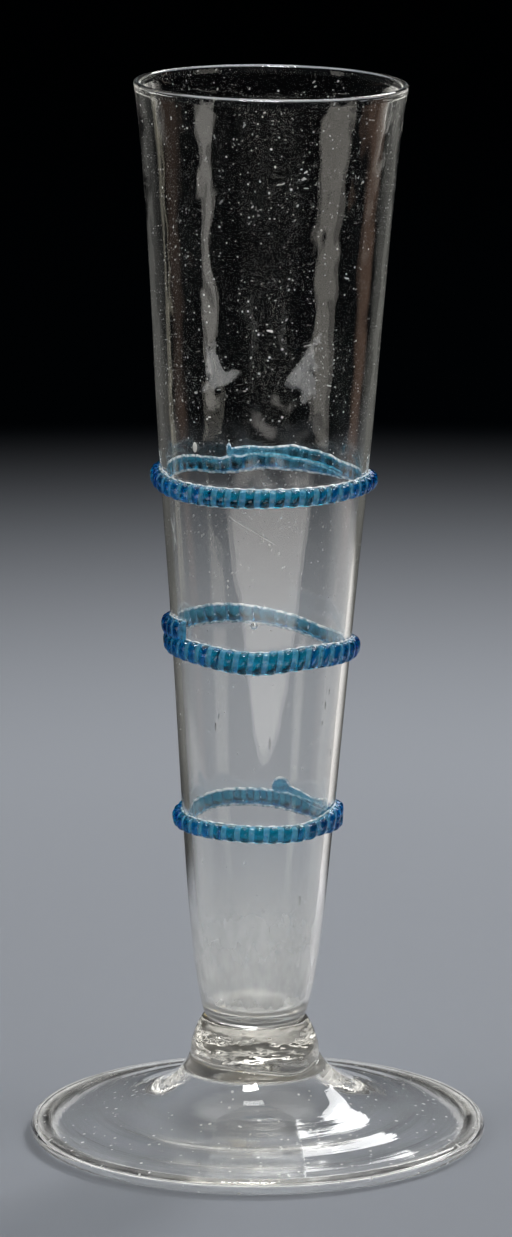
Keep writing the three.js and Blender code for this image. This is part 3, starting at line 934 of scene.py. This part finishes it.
def blue_glass(finish):
    """Soda glass coloured with copper and cobalt, with a fire-polished waver. Its tint is light
    turquoise in the pressed grooves and deep teal in the pillows: partly the thicker glass of the
    pillows, and partly painted shade for the dark that their curved faces bend in. A pale painted light
    lies over the grooves, most where they face the viewer. Along both edges a thin white line is a
    painted highlight for the light that the line of air against the bowl catches."""
    material, tree = new_material("copper_blue_glass")
    place = add(tree, "TexCoord").outputs["Object"]
    waver = lumps(tree, place, 1.3 * MM, 3)
    normal = add(tree, "Bump", {"Height": waver, "Distance": 0.1 * MM})
    pillow = add(tree, "Attribute", attribute_name="pillow").outputs["Fac"]
    thick = add(tree, "MapRange", (pillow, 0.1, 0.6), **SOFT_STEP)
    # Painted highlight: a thin white line along both edges of a thread, standing in for the light that
    # the line of air against the bowl catches.
    edge = add(tree, "Attribute", attribute_name="edge").outputs["Fac"]
    white = add(tree, "MapRange", (edge, 0.3, 1), **SOFT_STEP)
    gaps = add(tree, "MapRange", (lumps(tree, place, 1.2 * MM), 0.35, 0.6, 0.5, 1), **SOFT_STEP)
    white = add(tree, "Math", (white, gaps), operation="MULTIPLY")
    # Painted light: a pale matt share over the grooves, most where they face the viewer, stands in for
    # the bright light bent through them.
    painted_groove_light = add(tree, "Math", (1, thick), operation="SUBTRACT")
    facing = add(tree, "LayerWeight", {"Blend": 0.5}).outputs["Facing"]
    in_front = add(tree, "MapRange", (facing, 0.25, 0.7, 0.5, 0.08), **SOFT_STEP)
    painted_groove_light = add(tree, "Math", (painted_groove_light, in_front), operation="MULTIPLY")
    clouds = add(tree, "MapRange", (waver, 0.35, 0.65, 0.6, 1), **SOFT_STEP)
    painted_groove_light = add(tree, "Math", (painted_groove_light, clouds), operation="MULTIPLY")
    hidden = add(tree, "Math", (white, painted_groove_light), operation="MAXIMUM")
    glass = glass_surface(tree, finish.blue, finish.blue_depth, BLUE_DENSITY, normal, hidden)
    # Painted shade: darker teal on the pillows, lighter on the grooves.
    tints = {0: thick, A: (*finish.blue, 1), B: (*finish.pillow, 1)}
    tint = add(tree, "Mix", tints, data_type="RGBA").outputs[MIXED]
    # The painted edge highlight also turns the tint white there.
    tint = add(tree, "Mix", {0: white, A: tint, B: (1, 1, 1, 1)}, data_type="RGBA").outputs[MIXED]
    tree.links.new(tint, glass.inputs["Base Color"])
    return material


def fused_joint():
    """No surface at all: hot glass that has flowed together, so light passes unbent."""
    material, tree = new_material("fused_joint")
    add(tree, "OutputMaterial", {"Surface": add(tree, "BsdfTransparent")})
    return material


def powder_and_painted_glint():
    """Glass ground to a white powder along a scratch, so it looks matt and pale. The painted glint at
    the core of a bubble is given the same look."""
    material, tree = new_material("powder_and_painted_glint")
    look = {"Base Color": (*linear("#E8E8E4"), 1), "Roughness": 0.7, "Specular IOR Level": 0.2}
    add(tree, "OutputMaterial", {"Surface": add(tree, "BsdfPrincipled", look)})
    return material


def seed_skin():
    """The wall of a tiny air bubble in glass, which scatters light and shows as a white point."""
    material, tree = new_material("seed_in_glass")
    look = {"Base Color": (*linear("#F4F6F8"), 1), "Roughness": 0.5, "Alpha": 0.7}
    add(tree, "OutputMaterial", {"Surface": add(tree, "BsdfPrincipled", look)})
    return material


def bubble_wall():
    """The wall of a larger air bubble: light meets air inside glass there, so the bubble shows the
    background small in its middle. Round its outline the wall turns light back and looks pale."""
    material, tree = new_material("bubble_in_glass")
    facing = add(tree, "LayerWeight", {"Blend": 0.5}).outputs["Facing"]
    clear = add(tree, "MapRange", (facing, 0.75, 0.95, 1, 0.4), **SOFT_STEP)
    look = {"Base Color": (1, 1, 1, 1), "IOR": 1 / GLASS_IOR, "Roughness": 0}
    wall = add(tree, "BsdfPrincipled", {**look, "Transmission Weight": clear})
    add(tree, "OutputMaterial", {"Surface": wall})
    return material


def mirrored_table(tree, stage, split, away):
    """The painted reflection that glass shows of the table: glowing patches for the part of it in front
    that the tent lights, and strips for cards, wood and light round the glass."""
    front = add(tree, "Math", (split[1], -1), operation="MULTIPLY")
    turn = add(tree, "Math", (split[0], front), operation="ARCTAN2")
    turn = add(tree, "Math", (turn, 180 / math.pi), operation="MULTIPLY")
    # The lit part starts further off on the left than on the right.
    start = (split[0], -0.17, 0.03, -0.3, -stage.mirrored_radius)
    start = add(tree, "MapRange", start, **SOFT_STEP)
    beyond = add(tree, "Math", (start, split[1]), operation="SUBTRACT")
    beyond = add(tree, "MapRange", (beyond, -0.003, 0.003), **SOFT_STEP)
    end = stage.mirrored_end
    fall = add(tree, "MapRange", (away, end - 0.05, end + 0.02, 1, 0), **SOFT_STEP)
    shape = add(tree, "Math", (beyond, fall), operation="MULTIPLY")
    colour = glow(tree, shape, LIT_TABLE, (0, 0, 0))
    for low, high, soft, near, far, fade, radiance in MIRRORED.values():
        strip, stretch = band(tree, turn, low, high, soft), band(tree, away, near, far, fade)
        shape = add(tree, "Math", (strip, stretch), operation="MULTIPLY")
        colour = glow(tree, shape, radiance, colour)
    return colour


def gathered_light(tree, place, split, away, path):
    """Rings of light under the foot's rolled edge and its flap, which act as lenses, and the lit
    table in front that the edge shows upside down. Only what is seen through glass has them."""
    through = add(tree, "Math", (path["Transmission Depth"], 0.5), operation="GREATER_THAN")
    unmirrored = add(tree, "Math", (path["Glossy Depth"], 0.5), operation="LESS_THAN")
    inner = band(tree, away, 45 * MM, 46.6 * MM, 0.5 * MM)
    inner = add(tree, "Math", (inner, 0.7), operation="MULTIPLY")
    outer = band(tree, away, 49.2 * MM, 53 * MM, 1.2 * MM)
    rings = add(tree, "Math", (inner, outer), operation="ADD")
    uneven = add(tree, "MapRange", (lumps(tree, place, 7 * MM), 0.35, 0.6, 0.7, 1), **SOFT_STEP)
    rings = add(tree, "Math", (rings, uneven), operation="MULTIPLY")
    nearer = add(tree, "MapRange", (split[1], -15 * MM, -45 * MM, 0.65, 1.6), **SOFT_STEP)
    rings = add(tree, "Math", (rings, nearer), operation="MULTIPLY")
    front = band(tree, split[1], -240 * MM, -55 * MM, 10 * MM)
    front = add(tree, "Math", (front, unmirrored), operation="MULTIPLY")
    near = band(tree, split[1], -125 * MM, -56 * MM, 4 * MM)
    middle = band(tree, split[0], -60 * MM, 60 * MM, 20 * MM)
    near = add(tree, "Math", (near, middle), operation="MULTIPLY")
    lit = add(tree, "Math", (front, near), operation="MAXIMUM")
    lit = add(tree, "Math", (rings, lit), operation="ADD")
    lit = add(tree, "Math", (lit, 1.3), operation="MULTIPLY")
    return add(tree, "Math", (lit, through), operation="MULTIPLY")


def matt_board(stage):
    """Smooth matt board, pale round the glass, which falls out of the light further off. For rays that
    glass has mirrored it paints a reflection: dark further out, as of cloth, with glowing strips for
    cards and wood round the glass."""
    material, tree = new_material("matt_board")
    place = add(tree, "TexCoord").outputs["Object"]
    split = add(tree, "SeparateXYZ", (place,)).outputs
    away = add(tree, "VectorMath", (place,), operation="LENGTH").outputs["Value"]
    path = add(tree, "LightPath").outputs
    mirrored = add(tree, "Math", (path["Glossy Depth"], 0.5), operation="GREATER_THAN")
    fade = add(tree, "MapRange", (away, stage.pale_radius, stage.far_radius), **SOFT_STEP)
    cloth = add(tree, "MapRange", (away, 170 * MM, 240 * MM), **SOFT_STEP)
    cloth = add(tree, "Math", (mirrored, cloth), operation="MULTIPLY")
    dark = add(tree, "Math", (fade, cloth), operation="MAXIMUM")
    shades = {0: dark, A: (*stage.floor_colour, 1), B: (*stage.far_colour, 1)}
    shade = add(tree, "Mix", shades, data_type="RGBA").outputs[MIXED]
    table = {0: mirrored_table(tree, stage, split, away), "Scale": mirrored}
    table = add(tree, "VectorMath", table, operation="SCALE")
    light = glow(tree, gathered_light(tree, place, split, away, path), stage.caustic, table)
    look = {"Base Color": shade, "Roughness": 0.9, "Specular IOR Level": 0}
    board = add(tree, "BsdfPrincipled", {**look, "Emission Color": light, "Emission Strength": 1})
    add(tree, "OutputMaterial", {"Surface": board})
    return material


# Operators


class GlassOperator:
    """What the operators share."""

    bl_options = {"REGISTER", "UNDO"}


class PASSGLAS_OT_foot(GlassOperator, bpy.types.Operator):
    """Blow and fold the foot, with the broken stub of the pontil below it"""

    bl_idname = "passglas.foot"
    bl_label = "Foot"

    def execute(self, context):
        settings = context.scene.passglas
        foot = settings.foot
        neck = settings.collar.bottom_radius + foot.neck_ledge
        bm = turned(foot_profile(settings), ROUND)
        join = foot.neck_height + JOIN / 2 - SEAM
        mark_contact(bm, join, neck)
        crown = foot.neck_height - foot.plate_at_neck + foot.crown_rise
        mark_contact(bm, crown, foot.pontil_radius * STUB_JOINT)

        def shifted(co):
            """Moves the neck over to meet the collar, and lowers its top where the collar sags."""
            r = co.xy.length
            follow = math.exp(-max(0, r - neck) / foot.neck_flare)
            on_top = co.z > foot_top(settings, max(r, neck)) - 0.6 * MM
            sag = seam_sag(settings, co.x, co.y) * follow if on_top else 0
            return Vector((co.x + settings.collar.shift * follow, co.y, co.z - sag))

        move_verts(bm, shifted)
        materials = [tooled_glass(settings.finish), fused_joint()]
        finished(bm, "blown_foot", materials, "clear_glass", "foot")
        self.pontil(settings, crown)
        return {"FINISHED"}

    def pontil(self, settings, crown):
        """The stub under the foot's crown, snapped off with a jagged edge."""
        foot = settings.foot
        top = crown - SEAM * 2
        radius, depth = foot.pontil_radius, foot.pontil_depth
        # Shares of the radius and of the depth, from the middle of the break round to the joint
        outline = [(0, 0.35), (0.25, 0.38), (0.45, 0.5), (0.65, 0.85), (0.8, 1), (0.93, 0.8)]
        outline += [(1, 0.45), (0.97, 0.15), (STUB_JOINT, 0), (0, 0)]
        profile = [(radius * out, top - depth * down) for out, down in outline]
        bm = turned(profile, ROUND // 2)
        mark_contact(bm, top, radius * STUB_JOINT)

        def broken(co):
            angle = math.atan2(co.y, co.x)
            out = co.xy.length / radius
            jag = 0.07 * math.cos(9 * angle) + 0.06 * math.sin(2 * angle)
            jag += 0.03 * math.sin(23 * angle)
            reach = 1 + jag * smooth_share(out, 0.3, 1) * smooth_share(top - co.z, 0, 0.2 * depth)
            down = (top - co.z) * (1 + 0.3 * min(1, 2 * out) * math.sin(3 * angle))
            return Vector((settings.collar.shift + co.x * reach, co.y * reach, top - down))

        move_verts(bm, broken)
        materials = [broken_glass(settings.finish), bpy.data.materials["fused_joint"]]
        finished(bm, "pontil_stub", materials, "broken_glass", "pontil_mark")


class PASSGLAS_OT_collar(GlassOperator, bpy.types.Operator):
    """Gather the solid collar between foot and bowl"""

    bl_idname = "passglas.collar"
    bl_label = "Collar"

    def execute(self, context):
        settings = context.scene.passglas
        collar = settings.collar
        bottom = settings.foot.neck_height + JOIN / 2 + SEAM
        tall = collar.height + JOIN - 2 * SEAM
        bowl_seat = settings.bowl.base_radius - BASE_EDGE

        def side(s):
            straight = mix(collar.bottom_radius, collar.top_radius, s)
            return straight + collar.bulge * math.sin(math.pi * s)

        shares = spread(0, 1, 28)[2:-2]
        profile = [
            (0, 0),
            (collar.bottom_radius + settings.foot.neck_ledge - NECK_EDGE, 0),
            (collar.bottom_radius - 0.25 * NECK_EDGE, 0.35 * NECK_EDGE),
            *[(side(s), tall * s) for s in shares],
            (collar.top_radius + 0.1 * NECK_EDGE, tall - 0.5 * NECK_EDGE),
            (bowl_seat, tall),
            (0, tall),
        ]
        bm = turned(profile, ROUND)
        mark_contact(bm, 0, collar.bottom_radius)
        mark_contact(bm, tall, bowl_seat)
        drop = math.tan(collar.lean)

        def leaning(co):
            """Squares the top to the leaning bowl, and lets the base sag with the seam."""
            up = co.z / tall
            sag = seam_sag(settings, co.x, co.y) * (1 - up)
            return Vector((co.x + collar.shift, co.y, bottom + co.z - co.x * drop * up - sag))

        move_verts(bm, leaning)
        materials = [gathered_glass(settings.finish), bpy.data.materials["fused_joint"]]
        finished(bm, "collar_gather", materials, "clear_glass", "collar")
        return {"FINISHED"}


class PASSGLAS_OT_bowl(GlassOperator, bpy.types.Operator):
    """Blow the bowl, with its kicked-up floor and fire-polished lip"""

    bl_idname = "passglas.bowl"
    bl_label = "Bowl"

    def execute(self, context):
        settings = context.scene.passglas
        bm = turned(bowl_profile(settings), BOWL_ROUND)
        mark_contact(bm, -JOIN / 2 + SEAM, settings.bowl.base_radius - BASE_EDGE)
        move_verts(bm, on_blown_wall)
        materials = [blown_glass(settings.finish), bpy.data.materials["fused_joint"]]
        finished(leaned(bm, settings), "blown_bowl", materials, "clear_glass", "bowl")
        return {"FINISHED"}


class PASSGLAS_OT_seeds(GlassOperator, bpy.types.Operator):
    """Scatter the air bubbles that are caught in the bowl's wall, and scratch its skin"""

    bl_idname = "passglas.seeds"
    bl_label = "Seeds"

    def execute(self, context):
        settings = context.scene.passglas
        powder = powder_and_painted_glint()
        finished(self.scattered(settings), "seeds", [seed_skin()], "clear_glass")
        # Painted glints: white matt cores that stand in for the gleam of two bubbles.
        finished(self.placed(settings, PAINTED_GLINTS), "painted_bubble_glints", [powder], "clear_glass")
        bubbles = self.placed(settings, BUBBLES)
        bubbles = finished(bubbles, "bubbles", [bubble_wall()], "clear_glass")
        bubbles.visible_shadow = False
        finished(self.scratches(settings), "scratches", [powder], "clear_glass")
        return {"FINISHED"}

    def scattered(self, settings):
        """Seeds all over the wall, more of them higher up, and about half of them in swarms."""
        lip = bowl_height(settings)
        draw = random.Random(11)
        bm = bmesh.new()
        swarms = [(draw.uniform(0, math.tau), lip * draw.uniform(0.35, 0.97)) for _ in range(26)]
        for _ in range(settings.bowl.seeds):
            z = lip * (0.08 + 0.905 * draw.random() ** 0.6)
            angle = draw.uniform(0, math.tau)
            if draw.random() < 0.45:
                near_angle, near_z = draw.choice(swarms)
                angle = draw.gauss(near_angle, 0.35)
                z = min(max(draw.gauss(near_z, 9 * MM), 0.1 * lip), 0.985 * lip)
            size = mix(0.035, 0.15, draw.random() ** 4) * MM
            tall = draw.uniform(1, 1.5 if z > 0.5 * lip else 4)
            self.seed(bm, settings, angle, z, size, tall)
        return leaned(bm, settings)

    def placed(self, settings, rows):
        """Larger bubbles, each in its own place."""
        bm = bmesh.new()
        for degrees, height, size, tall in rows:
            self.seed(bm, settings, math.radians(degrees), height * MM, size * MM, tall, 3)
        return leaned(bm, settings)

    def scratches(self, settings):
        """Fine white lines in the skin of the bowl, each a sliver that tapers to both ends."""
        steps, thickness = 12, 0.08 * MM
        bm = bmesh.new()
        for scratch in SCRATCHES:
            ends = []
            for degrees, height in scratch:
                angle, z = math.radians(degrees), height * MM
                radius = bowl_radius(settings, z)
                spot = Vector((radius * math.cos(angle), radius * math.sin(angle), z))
                ends.append(on_blown_wall(spot))
            for step in range(steps):
                spots = []
                for part in (step / steps, (step + 1) / steps):
                    spot = ends[0].lerp(ends[1], part)
                    out = bowl_radius(settings, spot.z) / spot.xy.length
                    spots.append(Vector((spot.x * out, spot.y * out, spot.z)))
                line = spots[1] - spots[0]
                turn = line.to_track_quat("Z", "Y").to_matrix().to_4x4()
                thin, thick = (
                    thickness * math.sin(math.pi * mix(0.06, 0.94, s / steps)) for s in (step, step + 1)
                )
                bmesh.ops.create_cone(
                    bm,
                    cap_ends=True,
                    segments=6,
                    radius1=thin,
                    radius2=thick,
                    depth=line.length,
                    matrix=Matrix.Translation((spots[0] + spots[1]) / 2) @ turn,
                )
        return leaned(bm, settings)

    def seed(self, bm, settings, angle, z, size, tall, smoothness=1):
        """A bubble in the middle of the wall, pressed flat where the wall is too thin for it."""
        wall = mix(settings.bowl.wall_at_base, settings.bowl.wall_at_rim, z / bowl_height(settings))
        radius = bowl_radius(settings, z) - wall / 2
        place = Vector((radius * math.cos(angle), radius * math.sin(angle), z))
        flat = min(1, 0.4 * wall / size)
        shape = Matrix.Rotation(angle, 4, "Z") @ Matrix.Diagonal((flat, 1, tall, 1))
        matrix = Matrix.Translation(on_blown_wall(place)) @ shape
        bmesh.ops.create_icosphere(bm, subdivisions=smoothness, radius=size, matrix=matrix)


class PASSGLAS_OT_threads(GlassOperator, bpy.types.Operator):
    """Lay the three notched blue threads round the bowl"""

    bl_idname = "passglas.threads"
    bl_label = "Threads"

    def execute(self, context):
        settings = context.scene.passglas
        material = blue_glass(settings.finish)
        for name, thread in THREADS.items():
            bm = swept(settings, thread)
            move_verts(bm, on_blown_wall)
            finished(leaned(bm, settings), f"{name}_trail", [material], "blue_glass", name)
        return {"FINISHED"}


class PASSGLAS_OT_stage(GlassOperator, bpy.types.Operator):
    """Lay the pale floor, hang the soft lights and set up the camera"""

    bl_idname = "passglas.stage"
    bl_label = "Stage"

    def execute(self, context):
        scene = context.scene
        stage = scene.passglas.stage
        bm = bmesh.new()
        bmesh.ops.create_circle(bm, cap_ends=True, segments=96, radius=3)
        mesh = bpy.data.meshes.new("floor")
        bm.to_mesh(mesh)
        bm.free()
        mesh.materials.append(matt_board(stage))
        floor = bpy.data.objects.new("floor", mesh)
        scene.collection.objects.link(floor)
        scene.world = self.studio(stage)
        for name, row in SOFTBOXES.items():
            scene.collection.objects.link(self.softbox(name, *row))
        scene.camera = self.camera()
        scene.collection.objects.link(scene.camera)
        scene.view_settings.view_transform = "Standard"
        # Light crosses many walls of clear glass before it is out again.
        scene.cycles.max_bounces = 32
        scene.cycles.transmission_bounces = 32
        scene.cycles.glossy_bounces = 16
        scene.cycles.transparent_max_bounces = 48
        return {"FINISHED"}

    def studio(self, stage):
        """Even light from all round, while glass shows a dark room with a white tent overhead."""
        world = bpy.data.worlds.new("studio")
        world.use_nodes = True
        tree = world.node_tree
        tree.nodes.clear()
        path = add(tree, "LightPath").outputs
        seen = (path["Is Camera Ray"], path["Is Glossy Ray"])
        seen = add(tree, "Math", seen, operation="MAXIMUM")
        seen = add(tree, "Math", (seen, path["Is Transmission Ray"]), operation="MAXIMUM")
        light = add(tree, "Background", {"Color": (1, 1, 1, 1), "Strength": stage.ambient})
        way = add(tree, "TexCoord").outputs["Generated"]
        split = add(tree, "SeparateXYZ", (way,)).outputs
        indirect = add(tree, "Math", (1, path["Is Camera Ray"]), operation="SUBTRACT")
        # The tent is tilted, so it comes down further behind the glass.
        rise = add(tree, "Math", (split[1], 0.14), operation="MULTIPLY")
        rise = add(tree, "Math", (split[2], rise), operation="ADD")
        tent = add(tree, "MapRange", (rise, 0.8, 0.9), **SOFT_STEP)
        tent = add(tree, "Math", (tent, indirect), operation="MULTIPLY")
        tent_light = [stage.tent_strength * c for c in stage.tent]
        shade = glow(tree, tent, tent_light, stage.backdrop)
        low = self.low_wall(tree, way, split, path)
        low = add(tree, "Math", (low, indirect), operation="MULTIPLY")
        shade = glow(tree, low, [stage.wall_strength * c for c in stage.wall], shade)
        room = add(tree, "Background", {"Color": shade, "Strength": 1})
        both = add(tree, "MixShader", (seen, light, room))
        add(tree, "OutputWorld", {"Surface": both})
        return world

    def low_wall(self, tree, way, split, path):
        """A pale, uneven wall behind the table, which shows only in light that the glass has turned
        back inside: once for the wall's lowest strip, and twice for the rest of it, or once where
        the light goes through the bowl as well."""
        entered = add(tree, "Math", (path["Transmission Depth"], 0.5), operation="GREATER_THAN")
        through_bowl = add(tree, "Math", (path["Transmission Depth"], 3.5), operation="GREATER_THAN")
        once = add(tree, "Math", (path["Glossy Depth"], 0.5), operation="GREATER_THAN")
        twice = add(tree, "Math", (path["Glossy Depth"], 1.5), operation="GREATER_THAN")
        strip = band(tree, split[2], -0.06, 0.06, 0.02)
        strip = add(tree, "Math", (strip, once), operation="MULTIPLY")
        strip = add(tree, "Math", (strip, 2.2), operation="MULTIPLY")
        rest = band(tree, split[2], 0.06, 0.78, 0.02)
        rest = add(tree, "Math", (rest, twice), operation="MULTIPLY")
        upper = band(tree, split[2], 0.3, 0.78, 0.02)
        upper = add(tree, "Math", (through_bowl, upper), operation="MULTIPLY")
        upper = add(tree, "Math", (upper, once), operation="MULTIPLY")
        upper = add(tree, "Math", (upper, 2), operation="MULTIPLY")
        rest = add(tree, "Math", (rest, upper), operation="ADD")
        shape = add(tree, "Math", (strip, rest), operation="ADD")
        behind = add(tree, "MapRange", (split[1], 0.4, 0.8), **SOFT_STEP)
        shape = add(tree, "Math", (shape, behind), operation="MULTIPLY")
        uneven = lumps(tree, way, 0.16, 1, (1, 1, 0.4))
        uneven = add(tree, "MapRange", (uneven, 0.4, 0.6, 0.4, 1), **SOFT_STEP)
        shape = add(tree, "Math", (shape, uneven), operation="MULTIPLY")
        return add(tree, "Math", (shape, entered), operation="MULTIPLY")

    def softbox(self, name, azimuth, elevation, distance, width, height, radiance, lights):
        """A soft box aimed at the glass, which the camera doesn't see."""
        light = bpy.data.lights.new(f"softbox_{name}", "AREA")
        light.shape = "RECTANGLE"
        light.size, light.size_y = width, height
        light.energy = radiance * math.pi * width * height
        box = bpy.data.objects.new(f"softbox_{name}", light)
        box.visible_camera = False
        box.visible_glossy = box.visible_transmission = lights != "matt"
        box.visible_diffuse = lights != "glass"
        a, e = math.radians(azimuth), math.radians(elevation)
        away = Vector((math.sin(a) * math.cos(e), -math.cos(a) * math.cos(e), math.sin(e)))
        box.location = AIM + away * distance
        box.rotation_euler = away.to_track_quat("Z", "Y").to_euler()
        return box

    def camera(self):
        """The camera that was fitted to the rim, the foot and the threads in the photograph."""
        data = bpy.data.cameras.new("camera")
        data.sensor_fit = "VERTICAL"
        data.sensor_height = 36
        data.lens = 193.35  # millimetres, as the sensor's height
        data.clip_end = 50
        camera = bpy.data.objects.new("camera", data)
        camera.location = (-0.00038, -1.45425, 0.43074)
        camera.rotation_euler = (math.radians(90 - CAMERA_DOWN), 0, 0)
        return camera


class PASSGLAS_PT_panel(bpy.types.Panel):
    """Lists the pieces of the glass and their sizes"""

    bl_idname = "PASSGLAS_PT_panel"
    bl_label = "Passglas"
    bl_space_type = "VIEW_3D"
    bl_region_type = "UI"
    bl_category = "Passglas"

    def draw(self, context):
        settings = context.scene.passglas
        for operator, group in (
            ("stage", "stage"),
            ("foot", "foot"),
            ("collar", "collar"),
            ("bowl", "bowl"),
            ("seeds", None),
            ("threads", "threads"),
        ):
            box = self.layout.box()
            box.operator(f"passglas.{operator}")
            if group:
                values = getattr(settings, group)
                for key in values.bl_rna.properties.keys():
                    if key not in ("rna_type", "name"):
                        box.prop(values, key)


CLASSES = (
    FootSettings,
    CollarSettings,
    BowlSettings,
    ThreadSettings,
    FinishSettings,
    StageSettings,
    PassglasSettings,
    PASSGLAS_OT_foot,
    PASSGLAS_OT_collar,
    PASSGLAS_OT_bowl,
    PASSGLAS_OT_seeds,
    PASSGLAS_OT_threads,
    PASSGLAS_OT_stage,
    PASSGLAS_PT_panel,
)


def register():
    for cls in CLASSES:
        bpy.utils.register_class(cls)
    bpy.types.Scene.passglas = PointerProperty(type=PassglasSettings)


def unregister():
    del bpy.types.Scene.passglas
    for cls in reversed(CLASSES):
        bpy.utils.unregister_class(cls)


def main():
    """Builds the glass and its stage."""
    register()
    bpy.ops.passglas.stage()
    bpy.ops.passglas.foot()
    bpy.ops.passglas.collar()
    bpy.ops.passglas.bowl()
    bpy.ops.passglas.seeds()
    bpy.ops.passglas.threads()


if __name__ == "__main__":
    main()
